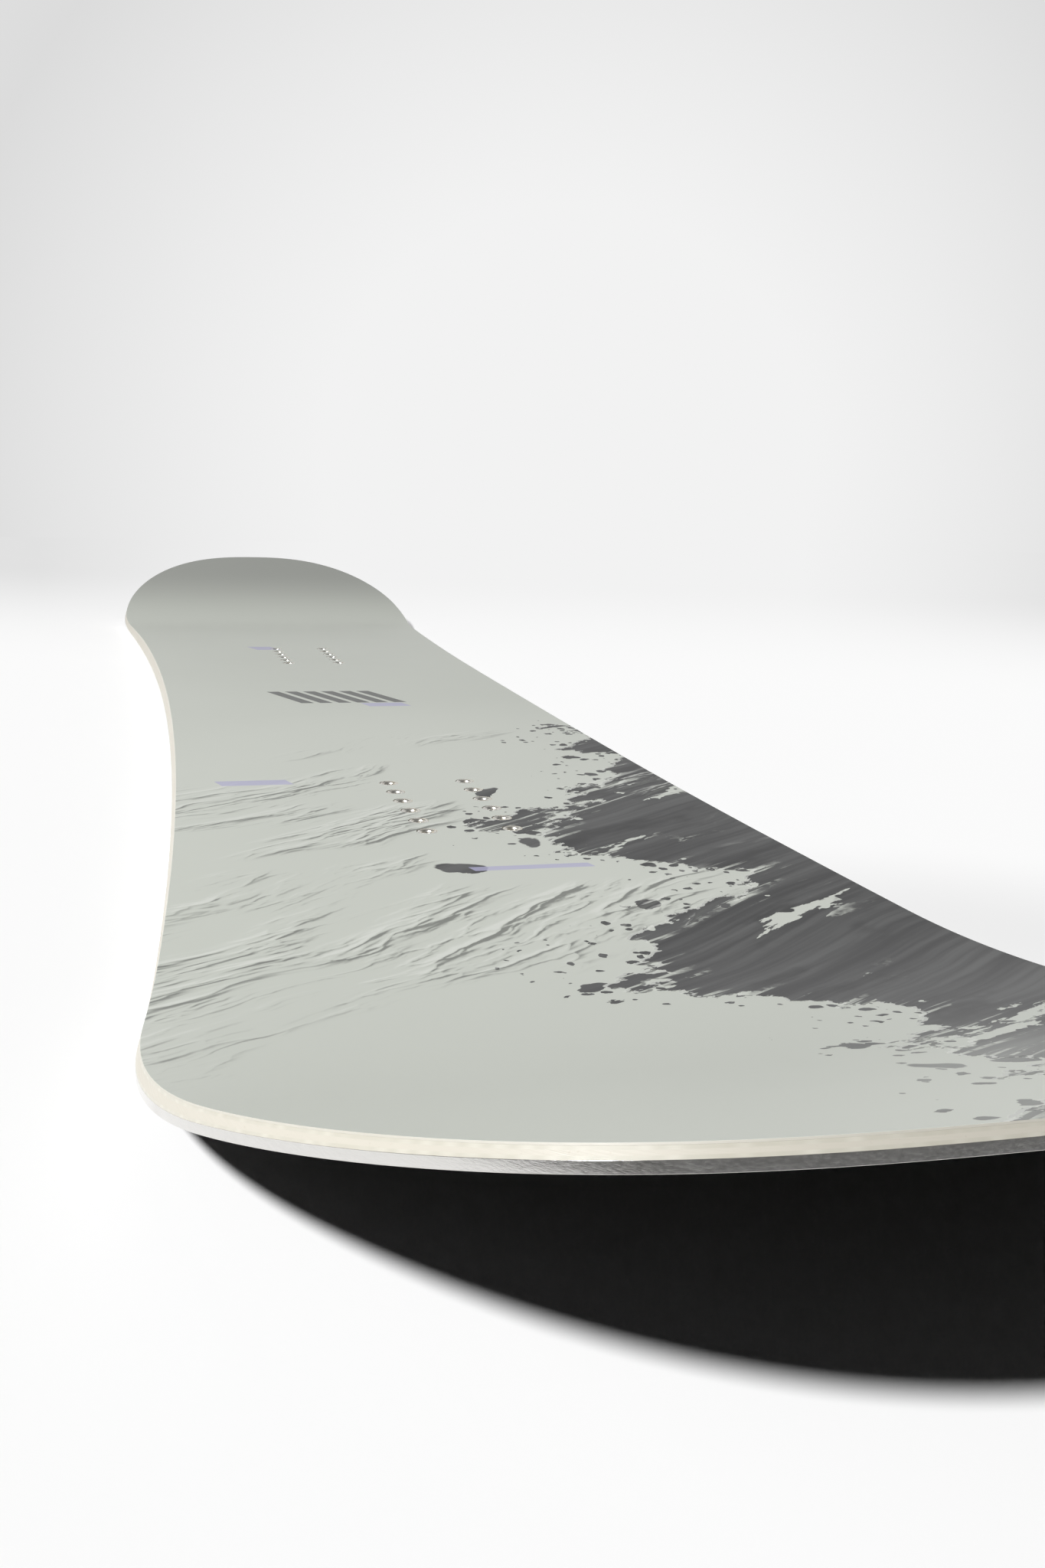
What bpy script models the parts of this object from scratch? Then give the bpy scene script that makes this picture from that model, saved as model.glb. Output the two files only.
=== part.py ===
"""Snowboard deck, pressed from flat layers: base, steel edges, laminates, wood core, sidewalls, topsheet, inserts.

Every layer is drawn as the flat blank it is cut from, with its height above the running surface as Z, and is then
pressed to the deck's side profile. Metres. +Y runs from nose to tail, +Z is up, and the origin lies midway along
the deck, on the plane that its contact lines rest on.
"""
import math

import bmesh
import bpy
import numpy as np
from mathutils import Matrix, Vector

# Outline, seen from above
LENGTH = 1.570
WAIST_WIDTH = 0.246
WAIST_OFFSET = 0.065
SIDECUT_RADIUS = 6.90
NOSE_ROUND_LENGTH = 0.228
NOSE_ROUND_POWERS = (2.20, 2.95)
TAIL_ROUND_LENGTH = 0.200
TAIL_ROUND_POWERS = (2.00, 2.50)

# Side profile
CAMBER = 0.0040
NOSE_LENGTH = 0.310
NOSE_BEND_RADIUS = 0.660
NOSE_ANGLE = math.radians(17.7)
TAIL_LENGTH = 0.240
TAIL_BEND_RADIUS = 0.330
TAIL_ANGLE = math.radians(16.0)

# Layers, from the running surface up
BOND = 0.0002
BASE_THICKNESS = 0.0012
LOWER_GLASS = 0.0005
CORE_THICKNESS = 0.0070
CORE_FULL_HALF_LENGTH = 0.350
TIP_RIM_THICKNESS = 0.0007
UPPER_GLASS = 0.0005
TOPSHEET_THICKNESS = 0.0005
NOSE_SPACER_LENGTH = 0.250
TAIL_SPACER_LENGTH = 0.190

# Steel edges and the rubber foil over their teeth
EDGE_WIDTH = 0.0022
TOOTH_THICKNESS = 0.0004
TOOTH_DEPTH = 0.0060
TOOTH_LENGTH = 0.030
TOOTH_PITCH = 0.050
EDGE_JOINT_GAP = 0.0004
RUBBER_THICKNESS = 0.0002

# Sidewalls
SIDEWALL_BEVEL = math.radians(15.0)
JOGGLE_CLEARANCE = 0.0004
JOGGLE_LENGTH = 0.0024

# Inserts, in two packs of two rows
STANCE_WIDTH = 0.560
ROW_SPACING = 0.040
INSERT_PITCH = 0.020
INSERTS_PER_ROW = 6
PACK_MARGIN = 0.015
BARREL_RADIUS = 0.0045
FLANGE_RADIUS = 0.0080
FLANGE_THICKNESS = 0.0010
THREAD_RADIUS = 0.0025
THREAD_DEPTH = 0.0068
INSERT_RECESS = 0.0003
INSERT_CLEARANCE = 0.0003

# Wood stringers
HARD_STRINGER_WIDTH = 0.028
FIELD_STRINGER_WIDTH = 0.040

# How finely curves are drawn
OUTLINE_SAMPLES = 500
TURN_STEP = math.radians(6.5)
BEND_STEP = math.radians(2.0)
LONGEST_STEP = 0.100
SHORTEST_STEP = 0.004
SLOPE_REACH = 0.0005
INSERT_SIDES = 10
JOINT_OVERRUN = 0.030
DRILL_OVERSHOOT = 0.002

# Levels above the running surface, in the field and along the rim
EDGE_HEIGHT = BASE_THICKNESS + BOND + TOOTH_THICKNESS + BOND + RUBBER_THICKNESS
TOOTH_BOTTOM = BASE_THICKNESS + BOND
TOOTH_TOP = TOOTH_BOTTOM + TOOTH_THICKNESS
GLASS_FIELD = BASE_THICKNESS + BOND
GLASS_RIM = EDGE_HEIGHT + BOND
CORE_FIELD = GLASS_FIELD + LOWER_GLASS + BOND
CORE_RIM = GLASS_RIM + LOWER_GLASS + BOND
TOP_STACK = BOND + UPPER_GLASS + BOND + TOPSHEET_THICKNESS
MIDDLE_THICKNESS = CORE_FIELD + CORE_THICKNESS + TOP_STACK
TIP_THICKNESS = CORE_RIM + TIP_RIM_THICKNESS + TOP_STACK

# Insets from the outline
TEETH_INSET = EDGE_WIDTH + TOOTH_DEPTH
JOGGLE_INSET = TEETH_INSET + JOGGLE_CLEARANCE
SIDEWALL_WIDTH = JOGGLE_INSET + JOGGLE_LENGTH

# Places along the deck
NOSE_CONTACT = NOSE_LENGTH - LENGTH / 2
TAIL_CONTACT = LENGTH / 2 - TAIL_LENGTH
NOSE_JOINT = NOSE_SPACER_LENGTH - LENGTH / 2
TAIL_JOINT = LENGTH / 2 - TAIL_SPACER_LENGTH
PACK_CENTRES = {"nose": -STANCE_WIDTH / 2, "tail": STANCE_WIDTH / 2}
PACK_HALF_LENGTH = (INSERTS_PER_ROW - 1) * INSERT_PITCH / 2 + PACK_MARGIN


def clear_scene():
    """Remove every object that the scene holds."""
    for item in list(bpy.data.objects):
        bpy.data.objects.remove(item, do_unlink=True)


# Side profile

def camber_height(y):
    """Arch between the contact lines, level where it meets them."""
    middle = (NOSE_CONTACT + TAIL_CONTACT) / 2
    half = (TAIL_CONTACT - NOSE_CONTACT) / 2
    share = np.clip((y - middle) / half, -1, 1)
    return CAMBER / 2 * (1 + np.cos(math.pi * share))


def tip_rise(distance, radius, angle):
    """Rise at a distance past a contact line: an arc that runs out into a straight."""
    distance = np.clip(distance, 0, None)
    arc_end = radius * math.sin(angle)
    arc = radius - np.sqrt(radius ** 2 - np.clip(distance, None, arc_end) ** 2)
    return arc + np.clip(distance - arc_end, 0, None) * math.tan(angle)


def curved_height(y):
    """Height of the running surface before the packs are flattened."""
    nose = tip_rise(NOSE_CONTACT - y, NOSE_BEND_RADIUS, NOSE_ANGLE)
    tail = tip_rise(y - TAIL_CONTACT, TAIL_BEND_RADIUS, TAIL_ANGLE)
    return camber_height(y) + nose + tail


def surface_height(y):
    """Height of the running surface, straight under each pack of inserts."""
    y = np.asarray(y, dtype=float)
    result = curved_height(y)
    for centre in PACK_CENTRES.values():
        ends = centre + np.array((-PACK_HALF_LENGTH, PACK_HALF_LENGTH))
        inside = (y > ends[0]) & (y < ends[1])
        result = np.where(inside, np.interp(y, ends, curved_height(ends)), result)
    return result


def surface_slope(y):
    """Slope angle of the running surface along the deck."""
    y = np.asarray(y, dtype=float)
    climb = surface_height(y + SLOPE_REACH) - surface_height(y - SLOPE_REACH)
    return np.arctan(climb / (2 * SLOPE_REACH))


def pressed(points):
    """Flat blank points moved to the pressed deck: each keeps its height along the surface's normal."""
    x, y, level = np.asarray(points, dtype=float).T
    slope = surface_slope(y)
    return np.column_stack((x, y - level * np.sin(slope), surface_height(y) + level * np.cos(slope)))


def deck_thickness(y):
    """Whole thickness: full between the feet, then an S-shaped taper to the tips."""
    share = np.clip((np.abs(y) - CORE_FULL_HALF_LENGTH) / (LENGTH / 2 - CORE_FULL_HALF_LENGTH), 0, 1)
    return MIDDLE_THICKNESS + (TIP_THICKNESS - MIDDLE_THICKNESS) * share ** 2 * (3 - 2 * share)


def from_bottom(distance):
    """Level at a fixed height above the running surface."""
    return lambda y: np.full_like(y, distance)


def from_top(distance):
    """Level at a fixed depth below the topsheet's face."""
    return lambda y: deck_thickness(y) - distance


# Outline

def rounded_end(length, powers, half_width, flare):
    """Rounded tip that leaves the sidecut along its flare: distance past the sidecut, and half width there."""
    along, across = powers
    share = np.sin(np.linspace(0, math.pi / 2, OUTLINE_SAMPLES)) ** (2 / along)
    swell = half_width + flare * length * share * (1 - share) ** 2
    return length * share, swell * np.clip(1 - share ** along, 0, None) ** (1 / across)


class Outline:
    """Right half of the deck's outline, from nose tip to tail tip, by distance along it."""

    def __init__(self):
        nose_end = NOSE_ROUND_LENGTH - LENGTH / 2
        tail_end = LENGTH / 2 - TAIL_ROUND_LENGTH
        side_y = np.linspace(nose_end, tail_end, OUTLINE_SAMPLES)
        side_x = WAIST_WIDTH / 2 + (side_y - WAIST_OFFSET) ** 2 / (2 * SIDECUT_RADIUS)
        nose_flare = (WAIST_OFFSET - nose_end) / SIDECUT_RADIUS
        tail_flare = (tail_end - WAIST_OFFSET) / SIDECUT_RADIUS
        nose_y, nose_x = rounded_end(NOSE_ROUND_LENGTH, NOSE_ROUND_POWERS, side_x[0], nose_flare)
        tail_y, tail_x = rounded_end(TAIL_ROUND_LENGTH, TAIL_ROUND_POWERS, side_x[-1], tail_flare)
        self.x = np.concatenate((nose_x[::-1], side_x[1:-1], tail_x))
        self.y = np.concatenate((nose_end - nose_y[::-1], side_y[1:-1], tail_end + tail_y))
        run_x = np.diff(np.concatenate(([-self.x[1]], self.x, [-self.x[-2]])))
        run_y = np.diff(np.concatenate(([self.y[1]], self.y, [self.y[-2]])))
        tangent = np.array((run_x[1:] + run_x[:-1], run_y[1:] + run_y[:-1]))
        tangent /= np.hypot(*tangent)
        self.inward = np.array((-tangent[1], tangent[0]))
        self.distance = np.concatenate(([0], np.cumsum(np.hypot(np.diff(self.x), np.diff(self.y)))))
        self.length = self.distance[-1]

    def at_y(self, y):
        """Distance along the outline at which it passes y."""
        return np.interp(y, self.y, self.distance)

    def place(self, stations):
        """Position and inward direction at distances along the outline."""
        x, y, inward_x, inward_y = (
            np.interp(stations, self.distance, values) for values in (self.x, self.y, *self.inward)
        )
        size = np.hypot(inward_x, inward_y)
        return x, y, inward_x / size, inward_y / size


OUTLINE = Outline()


def cross_line_stations():
    """Distances along the outline of the cross lines that every layer shares, closer where the deck turns or bends."""
    turning = np.abs(np.diff(np.unwrap(np.arctan2(*OUTLINE.inward))))
    bending = np.abs(np.diff(surface_slope(OUTLINE.y)))
    steps = turning / TURN_STEP + bending / BEND_STEP + np.diff(OUTLINE.distance) / LONGEST_STEP
    effort = np.concatenate(([0], np.cumsum(steps)))
    even = np.interp(np.linspace(0, effort[-1], math.ceil(effort[-1]) + 1), effort, OUTLINE.distance)
    pack_ends = [centre + side * PACK_HALF_LENGTH for centre in PACK_CENTRES.values() for side in (-1, 1)]
    fixed = OUTLINE.at_y(np.array(pack_ends + [NOSE_CONTACT, TAIL_CONTACT]))
    return merged_stations(fixed, even)


def merged_stations(kept, optional):
    """Both lists in order, without the optional ones that crowd a kept one."""
    spare = [station for station in optional if np.min(np.abs(kept - station)) > SHORTEST_STEP]
    return np.sort(np.concatenate((kept, spare)))


def stations_between(stations, start, end):
    """The stations inside a stretch, with the stretch's own two ends."""
    inside = stations[(stations > start + SHORTEST_STEP) & (stations < end - SHORTEST_STEP)]
    return np.concatenate(([start], inside, [end]))


STATIONS = cross_line_stations()
SIDE_STATIONS = stations_between(
    STATIONS, OUTLINE.at_y(NOSE_JOINT - JOINT_OVERRUN), OUTLINE.at_y(TAIL_JOINT + JOINT_OVERRUN)
)


# Flat blanks

def rim_inset(level):
    """How far the bevelled sidewall lies inside the outline at a height."""
    return np.clip(level - EDGE_HEIGHT, 0, None) * math.tan(SIDEWALL_BEVEL)


def line_along(stations, level, inset=None):
    """Points that follow the outline at an inset and a level, or along the bevelled rim where no inset is given.

    The line is straight from one shared cross line to the next, so that neighbouring pieces stay parallel.
    """
    x, y, inward_x, inward_y = OUTLINE.place(STATIONS)
    depth = rim_inset(level(y)) if inset is None else inset
    x, y = x + inward_x * depth, y + inward_y * depth
    return np.column_stack([np.interp(stations, STATIONS, values) for values in (x, y, level(y))])


def line_beside(x, guide, level):
    """Straight line at x, with its cross lines where the guide line has them."""
    return np.column_stack((np.full(len(guide), x), guide[:, 1], level(guide[:, 1])))


def mirrored(line):
    """The same line on the deck's other side."""
    return line * (-1, 1, 1)


def loft(lines, pinched=False):
    """Closed skin through lines that run along the deck. Its ends are capped, or pinched shut at the tips."""
    blank = bmesh.new()
    rows = [[blank.verts.new(point) for point in row] for row in np.stack(lines, axis=1)]
    for row, following in zip(rows, rows[1:]):
        for index in range(len(row)):
            blank.faces.new((row[index - 1], row[index], following[index], following[index - 1]))
    if pinched:
        bmesh.ops.remove_doubles(blank, verts=blank.verts, dist=1e-6)
    else:
        blank.faces.new(rows[0])
        blank.faces.new(rows[-1])
    bmesh.ops.recalc_face_normals(blank, faces=blank.faces)
    return blank


def sheet(half_lines):
    """Full-width layer, from the lines of its right half in order from its underside to its top."""
    return loft(half_lines + [mirrored(line) for line in reversed(half_lines)], pinched=True)


def saw(blank, y, keep):
    """Saw a blank across at y and close the cut. It keeps the tail side for +1 and the nose side for -1."""
    everything = blank.verts[:] + blank.edges[:] + blank.faces[:]
    bmesh.ops.bisect_plane(blank, geom=everything, plane_co=(0, y, 0), plane_no=(0, -keep, 0), clear_outer=True)
    open_edges = [edge for edge in blank.edges if edge.is_boundary]
    bmesh.ops.holes_fill(blank, edges=open_edges)
    bmesh.ops.recalc_face_normals(blank, faces=blank.faces)
    return blank


def between_joints(blank):
    """Saw a blank to the stretch between the two tip spacers."""
    saw(blank, NOSE_JOINT + BOND / 2, 1)
    return saw(blank, TAIL_JOINT - BOND / 2, -1)


# Objects

def finish(name, colour, roughness, metallic=0.0):
    """A plain surface finish."""
    material = bpy.data.materials.new(name)
    material.use_nodes = True
    shader = material.node_tree.nodes["Principled BSDF"]
    shader.inputs["Base Color"].default_value = (*colour, 1)
    shader.inputs["Roughness"].default_value = roughness
    shader.inputs["Metallic"].default_value = metallic
    return material


def press_piece(name, blank, material):
    """Press a flat blank to the side profile and name it."""
    shaped = pressed([vert.co for vert in blank.verts])
    for vert, place in zip(blank.verts, shaped):
        vert.co = place
    mesh = bpy.data.meshes.new(name)
    blank.to_mesh(mesh)
    blank.free()
    mesh.materials.append(material)
    piece = bpy.data.objects.new(name, mesh)
    bpy.context.collection.objects.link(piece)
    return piece


def add_empty(name, location=(0, 0, 0), tilt=0.0):
    """A named reference point that other objects hang on."""
    empty = bpy.data.objects.new(name, None)
    empty.location = location
    empty.rotation_euler = (tilt, 0, 0)
    bpy.context.collection.objects.link(empty)
    return empty


def drill(piece, cutter):
    """Cut the insert holes out of a layer."""
    modifier = piece.modifiers.new("insert_holes", "BOOLEAN")
    modifier.operation = "DIFFERENCE"
    modifier.solver = "EXACT"
    modifier.object = cutter


# Layers

def running_base(material):
    """Black sliding surface, set between the steel edges."""
    inset = EDGE_WIDTH + BOND
    lines = [line_along(STATIONS, from_bottom(level), inset) for level in (0, BASE_THICKNESS)]
    return press_piece("running_base", sheet(lines), material)


def lower_laminate(material):
    """Glass layer that lies on the base and steps up over the teeth of the steel edges."""
    lines = [
        line_along(STATIONS, from_bottom(GLASS_FIELD), SIDEWALL_WIDTH),
        line_along(STATIONS, from_bottom(GLASS_RIM), JOGGLE_INSET),
        line_along(STATIONS, from_bottom(GLASS_RIM)),
        line_along(STATIONS, from_bottom(GLASS_RIM + LOWER_GLASS)),
        line_along(STATIONS, from_bottom(GLASS_RIM + LOWER_GLASS), JOGGLE_INSET),
        line_along(STATIONS, from_bottom(GLASS_FIELD + LOWER_GLASS), SIDEWALL_WIDTH),
    ]
    return press_piece("lower_laminate", sheet(lines), material)


def upper_layer(name, top, thickness, material):
    """Full-width layer near the top, at a depth below the topsheet's face."""
    lines = [line_along(STATIONS, from_top(top + thickness)), line_along(STATIONS, from_top(top))]
    return press_piece(name, sheet(lines), material)


def tip_spacer(name, joint, keep, material):
    """Plastic filler that carries the core's thickness out to a tip, as one piece with the cream rim there."""
    lines = [
        line_along(STATIONS, from_bottom(CORE_FIELD), SIDEWALL_WIDTH),
        line_along(STATIONS, from_bottom(CORE_RIM), JOGGLE_INSET),
        line_along(STATIONS, from_bottom(CORE_RIM)),
        line_along(STATIONS, from_top(TOP_STACK)),
    ]
    return press_piece(name, saw(sheet(lines), joint + keep * BOND / 2, keep), material)


# Pieces along the sides

def side_pair(name, blank, material):
    """Press a right-hand blank as name_right, and its mirror image as name_left."""
    other = blank.copy()
    bmesh.ops.scale(other, vec=(-1, 1, 1), verts=other.verts)
    bmesh.ops.recalc_face_normals(other, faces=other.faces)
    press_piece(f"{name}_right", blank, material)
    press_piece(f"{name}_left", other, material)


def sidewalls(material):
    """Cream walls between the tip spacers, bevelled outside, with a foot that follows the laminate's step."""
    lines = [
        line_along(SIDE_STATIONS, from_bottom(CORE_RIM)),
        line_along(SIDE_STATIONS, from_bottom(CORE_RIM), JOGGLE_INSET),
        line_along(SIDE_STATIONS, from_bottom(CORE_FIELD), SIDEWALL_WIDTH - BOND / 2),
        line_along(SIDE_STATIONS, from_top(TOP_STACK), SIDEWALL_WIDTH - BOND / 2),
        line_along(SIDE_STATIONS, from_top(TOP_STACK)),
    ]
    side_pair("sidewall", between_joints(loft(lines)), material)


def damping_strips(material):
    """Rubber foil over the teeth of each steel edge, between the contact lines."""
    stations = stations_between(STATIONS, OUTLINE.at_y(NOSE_CONTACT), OUTLINE.at_y(TAIL_CONTACT))
    corners = [
        (EDGE_WIDTH + BOND, TOOTH_TOP + BOND),
        (TEETH_INSET, TOOTH_TOP + BOND),
        (TEETH_INSET, EDGE_HEIGHT),
        (EDGE_WIDTH + BOND, EDGE_HEIGHT),
    ]
    lines = [line_along(stations, from_bottom(level), inset) for inset, level in corners]
    side_pair("damping_strip", loft(lines), material)


def tooth_stretches():
    """Start and end of each tooth along the outline, spread evenly from tip to tip."""
    count = max(1, round(OUTLINE.length / TOOTH_PITCH))
    pitch = OUTLINE.length / count
    length = TOOTH_LENGTH / TOOTH_PITCH * pitch
    return [((index + 0.5) * pitch - length / 2, (index + 0.5) * pitch + length / 2) for index in range(count)]


def steel_edges(material):
    """Two steel edges that meet at the tips, each a square bar with flat teeth bonded between base and glass."""
    teeth = tooth_stretches()
    stations = merged_stations(
        STATIONS[1:-1], np.concatenate((np.ravel(teeth), (EDGE_JOINT_GAP / 2, OUTLINE.length - EDGE_JOINT_GAP / 2)))
    )
    corners = [
        (EDGE_WIDTH, TOOTH_TOP),
        (EDGE_WIDTH, EDGE_HEIGHT),
        (0, EDGE_HEIGHT),
        (0, 0),
        (EDGE_WIDTH, 0),
        (EDGE_WIDTH, TOOTH_BOTTOM),
    ]
    blank = loft([line_along(stations, from_bottom(level), inset) for inset, level in corners])
    roots = line_along(stations, from_bottom(TOOTH_TOP), EDGE_WIDTH)
    tips = line_along(stations, from_bottom(TOOTH_TOP), TEETH_INSET)
    blank.faces.ensure_lookup_table()
    walls = [
        blank.faces[row * len(corners)]
        for row, middle in enumerate((stations[1:] + stations[:-1]) / 2)
        if any(start < middle < end for start, end in teeth)
    ]
    grown = bmesh.ops.extrude_face_region(blank, geom=walls)["geom"]
    bmesh.ops.delete(blank, geom=walls, context="FACES")
    for vert in (item for item in grown if isinstance(item, bmesh.types.BMVert)):
        row = np.argmin(np.hypot(roots[:, 0] - vert.co.x, roots[:, 1] - vert.co.y))
        vert.co.xy = tips[row, :2]
    bmesh.ops.recalc_face_normals(blank, faces=blank.faces)
    side_pair("steel_edge", blank, material)


# Wood core

def straight_stringer(name, start, end, material):
    """Straight strip of the core between two widths."""
    guide = line_along(SIDE_STATIONS, from_bottom(CORE_FIELD), SIDEWALL_WIDTH)
    near, far = start + BOND / 2, end - BOND / 2
    lines = [
        line_beside(near, guide, from_bottom(CORE_FIELD)),
        line_beside(far, guide, from_bottom(CORE_FIELD)),
        line_beside(far, guide, from_top(TOP_STACK)),
        line_beside(near, guide, from_top(TOP_STACK)),
    ]
    return press_piece(name, between_joints(loft(lines)), material)


def outer_stringers(start, material):
    """Outermost strips of the core, cut to the sidewalls' curve."""
    inset = SIDEWALL_WIDTH + BOND / 2
    curve = line_along(SIDE_STATIONS, from_bottom(CORE_FIELD), inset)
    lines = [
        line_beside(start + BOND / 2, curve, from_bottom(CORE_FIELD)),
        curve,
        line_along(SIDE_STATIONS, from_top(TOP_STACK), inset),
        line_beside(start + BOND / 2, curve, from_top(TOP_STACK)),
    ]
    side_pair("core_stringer_outer", between_joints(loft(lines)), material)


def wood_core(hard_material, light_material):
    """Stringers side by side: hard ones centred on the insert rows, light ones elsewhere."""
    hard_start = (ROW_SPACING - HARD_STRINGER_WIDTH) / 2
    hard_end = (ROW_SPACING + HARD_STRINGER_WIDTH) / 2
    field_end = hard_end + FIELD_STRINGER_WIDTH
    straight_stringer("core_stringer_centre", -hard_start, hard_start, light_material)
    straight_stringer("core_stringer_field_right", hard_end, field_end, light_material)
    straight_stringer("core_stringer_field_left", -field_end, -hard_end, light_material)
    outer_stringers(field_end, light_material)
    return [
        straight_stringer("core_stringer_hard_right", hard_start, hard_end, hard_material),
        straight_stringer("core_stringer_hard_left", -hard_end, -hard_start, hard_material),
    ]


# Inserts

def turned(profile):
    """Solid of revolution about Z from (radius, height) points whose first and last lie on the axis."""
    blank = bmesh.new()
    verts = [blank.verts.new((radius, 0, level)) for radius, level in profile]
    edges = [blank.edges.new(pair) for pair in zip(verts, verts[1:])]
    bmesh.ops.spin(
        blank, geom=verts + edges, axis=(0, 0, 1), cent=(0, 0, 0), angle=2 * math.pi, steps=INSERT_SIDES
    )
    bmesh.ops.remove_doubles(blank, verts=blank.verts, dist=1e-6)
    bmesh.ops.recalc_face_normals(blank, faces=blank.faces)
    return blank


def insert_mesh(material):
    """Flanged nut with a blind thread bore: its flange sits under the core and its barrel reaches the topsheet."""
    top = MIDDLE_THICKNESS - INSERT_RECESS - CORE_FIELD
    profile = [
        (0, 0),
        (FLANGE_RADIUS, 0),
        (FLANGE_RADIUS, FLANGE_THICKNESS),
        (BARREL_RADIUS, FLANGE_THICKNESS),
        (BARREL_RADIUS, top),
        (THREAD_RADIUS, top),
        (THREAD_RADIUS, top - THREAD_DEPTH),
        (0, top - THREAD_DEPTH),
    ]
    blank = turned(profile)
    mesh = bpy.data.meshes.new("insert")
    blank.to_mesh(mesh)
    blank.free()
    mesh.materials.append(material)
    mesh.shade_smooth()
    mesh.set_sharp_from_angle(angle=math.radians(40))
    return mesh


def pack_places():
    """Name and pack-plane position of each insert in a pack."""
    first = -(INSERTS_PER_ROW - 1) * INSERT_PITCH / 2
    return [
        (f"{side}_{index + 1}", Vector((row * ROW_SPACING / 2, first + index * INSERT_PITCH, 0)))
        for side, row in (("left", -1), ("right", 1))
        for index in range(INSERTS_PER_ROW)
    ]


def add_packs(mesh):
    """Two packs of inserts, each hung on an empty that lies in the core's underside. Returns the empties' frames."""
    frames = []
    for end, centre in PACK_CENTRES.items():
        seat = Vector(pressed([(0, centre, CORE_FIELD)])[0])
        tilt = float(surface_slope(centre))
        pack = add_empty(f"{end}_pack", seat, tilt)
        frames.append(Matrix.Translation(seat) @ Matrix.Rotation(tilt, 4, "X"))
        for label, place in pack_places():
            insert = bpy.data.objects.new(f"insert_{end}_{label}", mesh)
            bpy.context.collection.objects.link(insert)
            insert.parent = pack
            insert.location = place
    return frames


def insert_drill(frames):
    """Stepped cutter that clears every insert's flange and barrel. It is a tool, not a piece of the deck."""
    flange = FLANGE_RADIUS + INSERT_CLEARANCE
    barrel = BARREL_RADIUS + INSERT_CLEARANCE
    shoulder = FLANGE_THICKNESS + INSERT_CLEARANCE
    top = MIDDLE_THICKNESS - CORE_FIELD + DRILL_OVERSHOOT
    single = turned([(0, -DRILL_OVERSHOOT), (flange, -DRILL_OVERSHOOT), (flange, shoulder), (barrel, shoulder),
                     (barrel, top), (0, top)])
    pattern = bpy.data.meshes.new("insert_drill_single")
    single.to_mesh(pattern)
    single.free()
    blank = bmesh.new()
    for frame in frames:
        for _, place in pack_places():
            before = len(blank.verts)
            blank.from_mesh(pattern)
            blank.verts.ensure_lookup_table()
            bmesh.ops.transform(blank, matrix=frame @ Matrix.Translation(place), verts=blank.verts[before:])
    mesh = bpy.data.meshes.new("insert_drill")
    blank.to_mesh(mesh)
    blank.free()
    cutter = bpy.data.objects.new("insert_drill", mesh)
    bpy.context.collection.objects.link(cutter)
    cutter.hide_render = True
    cutter.display_type = "WIRE"
    return cutter


def build_deck():
    """Model the whole deck."""
    clear_scene()
    sage = finish("topsheet_sage", (0.56, 0.58, 0.54), 0.35)
    cream = finish("sidewall_cream", (0.80, 0.76, 0.67), 0.45)
    black = finish("base_black", (0.012, 0.012, 0.013), 0.30)
    steel = finish("edge_steel", (0.42, 0.42, 0.43), 0.30, 1.0)
    nickel = finish("insert_nickel", (0.66, 0.62, 0.52), 0.25, 1.0)
    glass = finish("glass_laminate", (0.72, 0.74, 0.62), 0.30)
    poplar = finish("core_poplar", (0.66, 0.50, 0.31), 0.60)
    beech = finish("core_beech", (0.50, 0.32, 0.17), 0.55)
    rubber = finish("damping_rubber", (0.02, 0.02, 0.02), 0.85)

    running_base(black)
    steel_edges(steel)
    damping_strips(rubber)
    lower_laminate(glass)
    tip_spacer("nose_spacer", NOSE_JOINT, -1, cream)
    tip_spacer("tail_spacer", TAIL_JOINT, 1, cream)
    sidewalls(cream)
    hard_stringers = wood_core(beech, poplar)
    upper_glass = upper_layer("upper_laminate", TOPSHEET_THICKNESS + BOND, UPPER_GLASS, glass)
    topsheet = upper_layer("topsheet", 0, TOPSHEET_THICKNESS, sage)

    cutter = insert_drill(add_packs(insert_mesh(nickel)))
    for layer in hard_stringers + [upper_glass, topsheet]:
        drill(layer, cutter)

    deck = add_empty("deck")
    for item in list(bpy.data.objects):
        if item.parent is None and item is not deck:
            item.parent = deck


build_deck()
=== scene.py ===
import math

import bpy
import numpy as np
from mathutils import Matrix, Vector


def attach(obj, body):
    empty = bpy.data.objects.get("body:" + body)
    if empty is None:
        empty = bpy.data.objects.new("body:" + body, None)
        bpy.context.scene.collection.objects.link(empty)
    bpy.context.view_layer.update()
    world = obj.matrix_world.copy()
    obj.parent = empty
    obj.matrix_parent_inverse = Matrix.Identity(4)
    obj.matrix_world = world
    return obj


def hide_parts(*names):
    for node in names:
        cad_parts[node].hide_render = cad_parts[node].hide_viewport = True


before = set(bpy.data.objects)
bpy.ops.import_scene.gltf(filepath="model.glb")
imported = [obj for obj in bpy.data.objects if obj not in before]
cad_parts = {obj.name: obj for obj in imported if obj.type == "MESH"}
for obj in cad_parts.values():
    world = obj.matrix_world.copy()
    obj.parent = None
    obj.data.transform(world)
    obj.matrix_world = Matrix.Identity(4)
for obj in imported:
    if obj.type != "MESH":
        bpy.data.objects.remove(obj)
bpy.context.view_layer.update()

# Deck shape, as the pressed solids have it
LENGTH = 1.570
WAIST_WIDTH = 0.246
WAIST_OFFSET = 0.065
SIDECUT_RADIUS = 6.90
NOSE_ROUND = (0.228, 2.20, 2.95)
TAIL_ROUND = (0.200, 2.00, 2.50)
CAMBER = 0.0040
NOSE_CONTACT = 0.310 - LENGTH / 2
TAIL_CONTACT = LENGTH / 2 - 0.240
NOSE_BEND = (0.660, math.radians(17.7))
TAIL_BEND = (0.330, math.radians(16.0))
NOSE_JOINT = 0.250 - LENGTH / 2
TAIL_JOINT = LENGTH / 2 - 0.190
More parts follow.
